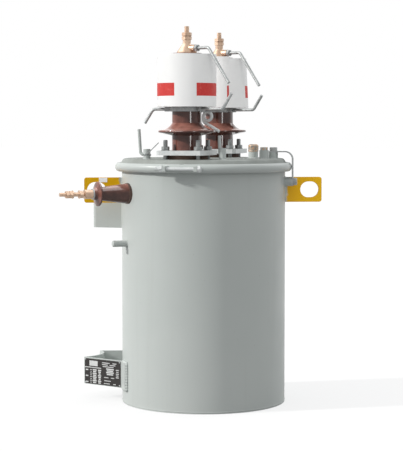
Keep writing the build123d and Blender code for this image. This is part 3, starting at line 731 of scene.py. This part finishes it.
def filler_cap():
    """The brass filler cap, with a knurled grip and a dished top."""
    spot = middle("filler_cap")
    bottom = low("filler_cap").z
    tall = high("filler_cap").z - bottom
    wide = (high("filler_cap").x - low("filler_cap").x) / 2
    sides = 96
    ridges = 24
    deep = 0.7 * MM
    twist = 900
    dish = 0.8
    crown = ((0, 5), (0.5, 3.2), (1.6, 1.6), (3.2, 0.5), (5, 0), (7, 0), (7.6, dish))

    def grip(rise):
        return lambda angle: wide - deep * abs(math.sin(ridges / 2 * angle + rise * twist))

    rows = [ring(wide, 0, sides), ring(wide, 2.5 * MM, sides)]
    rows += [ring(grip(rise * MM), rise * MM, sides) for rise in range(3, 13)]
    rows += [ring(wide - inset * MM, tall - drop * MM, sides) for inset, drop in crown]
    foot = [Vector((0, 0, 0))]
    top = [Vector((0, 0, tall - dish * MM))]
    form = Form()
    form.add(skin([foot] + rows + [top]), at(spot.x, spot.y, bottom))
    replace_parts(form.piece("knurled_filler_cap", "bronze", AGED_BRASS), "filler_cap")


def spare_plug():
    """The brass plug in the spare boss, fitted over its hexagon."""
    spot = middle("spare_boss")
    flats = 16.5 * MM
    tall = 7.3 * MM
    proud = 0.3 * MM
    form = Form()
    form.add(hexagon(flats, tall), at(spot.x, spot.y, high("spare_boss").z - tall + proud))
    form.piece("spare_plug", "bronze", AGED_BRASS)


def band_tongue():
    """The curved tongue that bridges the closing gap of the clamp band, a little below its face."""
    half_gap = 4.9 * MM
    crown = 216.0 * MM
    edge = 210.2 * MM
    tall = 9.9 * MM
    thick = 2.4 * MM
    tuck = 0.8
    steps = 12
    turns = [math.pi / 2 * (2 * step / steps - 1) for step in range(steps + 1)]
    outline = [(edge + (crown - edge) * math.cos(turn), tall * math.sin(turn)) for turn in turns]
    rings = []
    for along in (-half_gap, 0, half_gap):
        side = BAND_GAP_SIDE + along / crown
        outer = [polar(side, out, BAND_Z + rise) for out, rise in outline]
        inner = [polar(side, out - thick, BAND_Z + tuck * rise) for out, rise in reversed(outline)]
        rings.append(outer + inner)
    form = Form()
    form.add(capped(rings))
    form.piece("band_tongue", "tank_paint")


def wrap_radius(left):
    """Return a wound card's inner radius at an angle before its outer end, which laps over its start."""
    layer = CARD_T + 0.1 * MM
    lift = min(1.0, max(0.0, (2.2 * CARD_LAP - left) / (1.2 * CARD_LAP)))
    return SLEEVE_R - 2 * layer + layer * lift * lift * (3 - 2 * lift)


def flared(card, rise):
    """Return how far a card stands out at a height, where it is wound wider below than above."""
    seated_at = 0.70
    return card.flare * (seated_at - rise / (SLEEVE_TOP - SLEEVE_LOW))


def wrapped_card(card, seam):
    """Return a card wound into a tube, with the top corner of its outer end bent outwards."""
    ear_wide = 29 * MM
    ear_tall = 25 * MM
    parts = 180
    rows = 40
    wave = 0.35 * MM
    turn = 2 * math.pi + CARD_LAP
    level = SLEEVE_TOP - SLEEVE_LOW - 0.4 * MM
    rings = []
    for part in range(parts + 1):
        wound = part / parts
        left = turn * (1 - wound)
        angle = seam - left
        tall = level + card.climb * wound + wave * math.sin(3 * angle + 0.6)
        inner = []
        outer = []
        for row in range(rows + 1):
            rise = tall * row / rows
            corner = max(0.0, 1 - left * SLEEVE_R / ear_wide - (tall - rise) / ear_tall)
            out = wrap_radius(left) + flared(card, rise) + card.ear * corner
            inner.append(polar(angle, out, SLEEVE_LOW + rise))
            outer.append(polar(angle, out + CARD_T, SLEEVE_LOW + rise))
        rings.append(outer + inner[::-1])
    return capped(rings)


def print_patch(card, seam, start, end):
    """Return a blank printed field that lies on the wound card between two angles."""
    bottom = 25 * MM
    top = 55 * MM
    proud = 0.08 * MM
    corners = ((-proud, bottom), (proud, bottom), (proud, top), (-proud, top))
    parts = max(2, round(math.degrees(end - start) / 2))
    rings = []
    for part in range(parts + 1):
        angle = start + (end - start) * part / parts
        face = wrap_radius((seam - angle) % (2 * math.pi)) + CARD_T
        points = []
        for out, rise in corners:
            points.append(polar(angle, face + flared(card, rise) + out, SLEEVE_LOW + rise))
        rings.append(points)
    return capped(rings)


def sleeves():
    """The white card sleeves round the tall bushings, with their plain red fields."""
    for name, card in CARDS.items():
        seam = PHOTO_SIDE + math.radians(card.seam)
        place = at(0, BUSHING_Y[name], 0)
        wound = Form()
        wound.add(wrapped_card(card, seam), place)
        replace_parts(wound.piece(name + "_card_sleeve", "white_card"), name + "_hv_sleeve")
        printed = Form()
        for ends in card.fields:
            start, end = [PHOTO_SIDE + math.radians(turn) for turn in ends]
            printed.add(print_patch(card, seam, start, end), place)
        printed.piece(name + "_sleeve_fields", "white_card", RED_PRINT)


def bead(size):
    """Return a weld bead's radius as it ripples along its run."""
    return lambda run: size * (1 + 0.13 * math.sin(2 * math.pi * run / (1.6 * size)))


def ring_bead(form, place, radius, size):
    """Add a bead round a boss or stub."""
    count = max(40, round(2 * math.pi * radius / (0.4 * size)))
    path = [place @ point for point in ring(radius, 0, count)]
    form.add(tube(path, bead(size), WELD_SIDES, looped=True))


def upright_bead(form, side, out, bottom, top, size):
    """Add a bead that runs straight up the wall."""
    run = [polar(side, out, bottom), polar(side, out, top)]
    form.add(tube(divided(run, WELD_STEP), bead(size), WELD_SIDES))


def tank_welds():
    """Beads of the tank's own seams and of what is welded to its wall."""
    back = math.radians(118)
    seam_top = 566 * MM
    lug_foot = 5.6 * MM
    form = Form()
    ring_bead(form, at(0, 0, SEAM_Z), TANK_R - 0.6 * MM, 1.3 * MM)
    upright_bead(form, back, TANK_R - 0.9 * MM, SEAM_Z, seam_top, 2.4 * MM)
    for side in LUG_SIDES:
        for face in (-lug_foot, lug_foot):
            upright_bead(form, side + face / TANK_R, TANK_R, LUG_LOW, LUG_TOP, 2.6 * MM)
    ring_bead(form, outward(STUB_SIDE, TANK_R, middle("stub_boss").z), 8.4 * MM, 1.6 * MM)
    ring_bead(form, outward(BOND_SIDE, TANK_R, middle("bond_tank_boss").z), 11.4 * MM, 1.6 * MM)
    form.piece("tank_welds", "tank_paint", crease=60)


def bracket_welds():
    """Beads where the two pole brackets meet the wall."""
    form = Form()
    upper_low = low("upper_pole_bracket")
    upper_high = high("upper_pole_bracket")
    foot = math.asin((upper_high.y + 1.2 * MM) / TANK_R)
    for turn in (foot, -foot):
        upright_bead(form, POLE_SIDE + turn, TANK_R, upper_low.z, upper_high.z, 2.8 * MM)
    start = math.radians(31)
    end = math.radians(39.9)
    bottom = low("lower_pole_bracket").z
    top = high("lower_pole_bracket").z
    out = TANK_R + 1 * MM
    for turn in (1, -1):
        first = POLE_SIDE + turn * start
        last = POLE_SIDE + turn * end
        run = arc(first, last, out, top, WELD_STEP) + [polar(last, out, bottom)]
        run = divided(run, WELD_STEP) + arc(last, first, out, bottom, WELD_STEP)[1:]
        form.add(tube(run, bead(4.2 * MM), 10))
    form.piece("bracket_welds", "tank_paint", crease=60)


def lid_welds():
    """Beads round the bosses and posts on the lid."""
    form = Form()
    for node, radius in (("filler_boss", 12.4), ("spare_boss", 11.9), ("bond_lid_boss", 11.4)):
        spot = middle(node)
        ring_bead(form, at(spot.x, spot.y, LID_TOP), radius * MM, 1.5 * MM)
    posts = ((LEFT_POST_X, BUSHING_Y["front"]), (LEFT_POST_X, BUSHING_Y["rear"]), RIGHT_POST)
    for x, y in posts:
        ring_bead(form, at(x, y, LID_TOP), 8.8 * MM, 1.5 * MM)
    form.piece("lid_welds", "tank_paint", crease=60)


def slab(width, height, thick):
    """Return a thin board that lies on Z = 0, centred on the axis, with its rim eased."""
    ease = min(0.3 * thick, 0.2 * MM)
    rings = []
    for inset, rise in ((ease, 0), (0, ease), (0, thick - ease), (ease, thick)):
        half_w = width / 2 - inset
        half_h = height / 2 - inset
        corners = ((-half_w, -half_h), (half_w, -half_h), (half_w, half_h), (-half_w, half_h))
        rings.append([Vector((x, y, rise)) for x, y in corners])
    return skin([[Vector((0, 0, 0))]] + rings + [[Vector((0, 0, thick))]])


def plate_place():
    """Return the placement of the data plate's outer face: X along the plate, Y up, Z out."""
    thick = 1.5 * MM
    size = high("nameplate") - low("nameplate")
    slant = math.atan2(size.y, size.x)
    slant = math.atan2(size.y - thick * math.cos(slant), size.x - thick * math.sin(slant))
    along = Vector((math.cos(slant), -math.sin(slant), 0))
    out = Vector((-math.sin(slant), -math.cos(slant), 0))
    up = Vector((0, 0, 1))
    turn = Matrix((along, up, out)).transposed().to_4x4()
    return Matrix.Translation(middle("nameplate") + out * thick / 2) @ turn


def plate_details():
    """Ruled lines, empty fields and rivets on the black data plate."""
    place = plate_place()
    proud = 0.25 * MM
    form = Form()

    def field(x, y, width, height):
        form.add(slab(width * MM, height * MM, proud), place @ at(x * MM, y * MM, 0))

    field(-28, 20, 26, 13)
    field(-30, 9.6, 52, 2)
    for x, y, width in ((11, 24, 24), (38, 24, 12), (8, 19.4, 18), (32, 19.4, 18), (18, 14.8, 34)):
        field(x, y, width, 2)
    for row in range(4):
        field(24, 9.6 - 4.4 * row, 24 - 4 * (row % 2), 3.2)
    for row in range(5):
        field(47, 9 - 4.6 * row, 9 - 2 * (row % 2), 2.2)
    for row in range(8):
        y = 4 - 4.5 * row
        field(-36, y, 7 - 2 * (row % 2), 1.4)
        field(-24.5, y, 12 - 2 * (row % 2), 3.2)
        field(-9, y, 10 - 2 * (row % 3), 3.2)
    for y in (3, -12, -27):
        field(-49, y, 8, 3)
    for x, y, width in ((12, -12, 14), (32, -12, 10), (16, -20, 20), (14, -27, 18), (38, -27, 8)):
        field(x, y, width, 1.8)
    form.piece("plate_fields", "black_plate", BARE_FIELDS)
    rivets = Form()
    outline = ((0, 0), (2.2, 0), (2.2, 0.4), (1.7, 1.0), (0.9, 1.4), (0, 1.5))
    dome = [(out * MM, rise * MM) for out, rise in outline]
    for x in (-54, 54):
        for y in (-28.6, 28.6):
            rivets.add(lathe(dome, 24), place @ at(x * MM, y * MM, 0))
    rivets.piece("plate_rivets", "galvanised")


def tie_wire():
    """The short end of tie wire that stands off the left lid post."""
    post = Vector((LEFT_POST_X, BUSHING_Y["front"], LID_TOP + 9 * MM))
    out = 9.2 * MM
    climb = 3 * MM
    wound = 3.6 * math.pi
    steps = 40
    path = [post + polar(wound * step / steps, out, climb * step / steps) for step in range(steps + 1)]
    bend = path[-1]
    path += [bend + Vector(off) * MM for off in ((3, -3, 1), (9, -5, 6), (32, -8, 27))]
    form = Form()
    form.add(tube(path, 1.2 * MM, 8))
    form.piece("tie_wire", "galvanised", DARK_ZINC)


def lug_tag():
    """The small blank tag on the front face of the left lifting lug."""
    out = 246 * MM
    face = 5 * MM
    drop = 6.2 * MM
    turn = Matrix.Rotation(LUG_SIDES[1], 4, "Z")
    about = Matrix.Rotation(math.pi, 4, "Z")
    stand = Matrix.Rotation(math.pi / 2, 4, "X")
    form = Form()
    form.add(slab(20 * MM, 11 * MM, 0.4 * MM), turn @ at(out, face, LUG_TOP - drop) @ about @ stand)
    form.piece("lug_tag", "white_card")


def aim(item, towards):
    """Turn a lamp so that its light comes from a direction."""
    item.rotation_euler = towards.to_track_quat("Z", "Y").to_euler()


def lamp_object(name, kind, energy):
    """Return a new lamp in the scene."""
    lamp = bpy.data.lights.new(name, kind)
    lamp.energy = energy
    item = bpy.data.objects.new(name, lamp)
    bpy.context.scene.collection.objects.link(item)
    return item


def add_sun(name, side, rise, energy, spread, colour=(1.0, 1.0, 1.0)):
    """Add a distant lamp at an angle round the tank and a height above the floor, in degrees."""
    item = lamp_object(name, "SUN", energy)
    item.data.angle = math.radians(spread)
    item.data.color = colour
    rise = math.radians(rise)
    aim(item, polar(math.radians(side), math.cos(rise), math.sin(rise)))
    return item


def add_card(name, place, towards, size, energy):
    """Add a bright card that shows only as gloss."""
    item = lamp_object(name, "AREA", energy)
    item.data.shape = "RECTANGLE"
    item.data.size, item.data.size_y = size
    item.location = place
    item.visible_diffuse = False
    item.visible_camera = False
    aim(item, towards)
    return item


def sky_place(side, rise):
    """Return a card's place and the direction to it, seen from the bushings."""
    away = 3.0
    towards = polar(side, math.cos(rise), math.sin(rise))
    return Vector((0, 0, SLEEVE_LOW)) + away * towards, towards


def collected(name, members):
    """Return a collection of solids and pieces, named as they are in the scene."""
    group = bpy.data.collections.new(name)
    for member in members:
        group.objects.link(frame["nodes"].get(member) or bpy.data.objects[member])
    return group


def light_only(item, members):
    """Let a lamp reach only the named solids and pieces."""
    item.light_linking.receiver_collection = collected(item.name + "_lit", members)


def make_lamps():
    """A soft key from the left, weaker light from behind and on the card, and bright cards for gloss."""
    key_side = 211
    key_rise = 28
    key_spread = 4
    key_colour = (1.0, 0.985, 0.965)
    strip_side = PHOTO_SIDE + math.radians(28)
    above = Vector((0, 0, 1))
    tall_glaze = ("front_hv_porcelain", "rear_hv_porcelain")
    low_glaze = ("lv_porcelain",)
    low_fittings = ("lv_gasket", "lv_washer", "lv_terminal", "lv_stud_nuts")
    terminals = ("front_hv_terminal", "rear_hv_terminal", "terminal_nuts")
    filled = ("front_card_sleeve", "front_sleeve_fields", "rear_card_sleeve", "rear_sleeve_fields",
              "lug_tag", "right_lifting_lug")
    key = add_sun("key", key_side, key_rise, 2.40, key_spread, key_colour)
    spared = collected("key_spared", low_glaze + low_fittings)
    key.light_linking.blocker_collection = spared
    for member in spared.collection_objects:
        member.light_linking.link_state = "EXCLUDE"
    add_sun("back", 60, 35, 0.3, 20)
    fill = add_sun("fill", 307, 12, 0.62, 30)
    light_only(fill, filled)
    glaze = add_sun("glaze_key", key_side, key_rise, 4.2, key_spread, key_colour)
    light_only(glaze, tall_glaze + low_glaze)
    strip = add_card("strip", polar(strip_side, 3.0, 1.0), polar(strip_side, 1, 0), (0.42, 2.2), 44.0)
    light_only(strip, tall_glaze)
    brow = add_card("brow", *sky_place(math.radians(228), math.radians(32)), (4.6, 1.3), 420.0)
    light_only(brow, tall_glaze)
    rim = add_card("rim", *sky_place(PHOTO_SIDE + math.pi, math.radians(12)), (3.0, 1.2), 4.0)
    light_only(rim, tall_glaze)
    edge = add_card("edge", *sky_place(math.radians(56), 0.0), (2.4, 2.2), 9.0)
    light_only(edge, tall_glaze)
    left = add_card("left", *sky_place(math.radians(184), math.radians(36)), (3.0, 3.2), 85.0)
    light_only(left, terminals)
    overhead = add_card("overhead", Vector((0, 0, 3.2)), above, (4.0, 4.0), 90.0)
    light_only(overhead, low_fittings)
    glaze_sky = add_card("glaze_sky", Vector((0, 0, 3.5)), above, (4.0, 4.0), 260.0)
    light_only(glaze_sky, low_glaze)


def seen_directly(tree):
    """Return a socket that is 1 for what the camera sees, straight or in a reflection."""
    path = tree.nodes.new("ShaderNodeLightPath")
    total = path.outputs["Is Camera Ray"]
    for name in ("Is Glossy Ray", "Is Transmission Ray"):
        most = tree.nodes.new("ShaderNodeMath")
        most.operation = "MAXIMUM"
        tree.links.new(total, most.inputs[0])
        tree.links.new(path.outputs[name], most.inputs[1])
        total = most.outputs["Value"]
    return total


def make_world():
    """White where it is seen, and elsewhere a plain light that is stronger from above."""
    world = bpy.data.worlds.new("studio")
    bpy.context.scene.world = world
    world.use_nodes = True
    tree = world.node_tree
    even = tree.nodes["Background"]
    even.inputs["Color"].default_value = (0.985, 1.0, 1.012, 1)
    place = tree.nodes.new("ShaderNodeTexCoord")
    split = tree.nodes.new("ShaderNodeSeparateXYZ")
    rise = tree.nodes.new("ShaderNodeMapRange")
    rise.inputs["To Min"].default_value = 0.31
    rise.inputs["To Max"].default_value = 1.15
    tree.links.new(place.outputs["Generated"], split.inputs[0])
    tree.links.new(split.outputs["Z"], rise.inputs["Value"])
    tree.links.new(rise.outputs["Result"], even.inputs["Strength"])
    white = tree.nodes.new("ShaderNodeBackground")
    white.inputs["Color"].default_value = (1, 1, 1, 1)
    white.inputs["Strength"].default_value = 1.0
    mixed = tree.nodes.new("ShaderNodeMixShader")
    tree.links.new(seen_directly(tree), mixed.inputs[0])
    tree.links.new(even.outputs[0], mixed.inputs[1])
    tree.links.new(white.outputs[0], mixed.inputs[2])
    tree.links.new(mixed.outputs[0], tree.nodes["World Output"].inputs["Surface"])


def make_floor():
    """A wide pale floor that keeps the object's shadow, faintly."""
    reach = 40.0
    mesh = bpy.data.meshes.new("floor")
    corners = [(-reach, -reach, 0), (reach, -reach, 0), (reach, reach, 0), (-reach, reach, 0)]
    mesh.from_pydata(corners, [], [(0, 1, 2, 3)])
    floor = bpy.data.objects.new("floor", mesh)
    bpy.context.scene.collection.objects.link(floor)
    material = bpy.data.materials.new("floor")
    material.use_nodes = True
    tree = material.node_tree
    plain = tree.nodes["Principled BSDF"]
    plain.inputs["Base Color"].default_value = (0.25, 0.25, 0.25, 1)
    plain.inputs["Roughness"].default_value = 0.9
    plain.inputs["Specular IOR Level"].default_value = 0.0
    pale = tree.nodes.new("ShaderNodeBsdfDiffuse")
    pale.inputs["Color"].default_value = (0.9, 0.9, 0.9, 1)
    white = tree.nodes.new("ShaderNodeEmission")
    white.inputs["Strength"].default_value = 1.0
    seen = tree.nodes.new("ShaderNodeMixShader")
    seen.inputs[0].default_value = 0.7
    tree.links.new(pale.outputs[0], seen.inputs[1])
    tree.links.new(white.outputs[0], seen.inputs[2])
    mixed = tree.nodes.new("ShaderNodeMixShader")
    tree.links.new(seen_directly(tree), mixed.inputs[0])
    tree.links.new(plain.outputs[0], mixed.inputs[1])
    tree.links.new(seen.outputs[0], mixed.inputs[2])
    tree.links.new(mixed.outputs[0], tree.nodes["Material Output"].inputs["Surface"])
    mesh.materials.append(material)


def make_camera():
    """The photograph's view: 17 degrees round to the right, a little above the middle, tipped down."""
    image_w = 403
    image_h = 451
    sensor_mm = 24.0
    lens_px = 1560.0
    axis_px = 203.5
    away = 3.826
    eye = 0.677
    tilt = math.radians(3.67)
    data = bpy.data.cameras.new("camera")
    data.sensor_fit = "VERTICAL"
    data.sensor_height = sensor_mm
    data.lens = lens_px / image_h * sensor_mm
    camera = bpy.data.objects.new("camera", data)
    bpy.context.scene.collection.objects.link(camera)
    turn = PHOTO_SIDE + math.pi / 2
    yaw = math.atan((axis_px - image_w / 2) / lens_px)
    camera.location = polar(PHOTO_SIDE, away, eye)
    camera.rotation_euler = (math.pi / 2 - tilt, 0, turn + yaw)
    bpy.context.scene.camera = camera


bpy.context.scene.view_settings.view_transform = "Standard"
finish_solids()
flange_studs()
terminal_nuts()
lv_nuts()
bond_bolts()
band_bolt()
filler_cap()
spare_plug()
band_tongue()
sleeves()
tank_welds()
bracket_welds()
lid_welds()
plate_details()
lug_tag()
tie_wire()
make_lamps()
make_world()
make_floor()
make_camera()
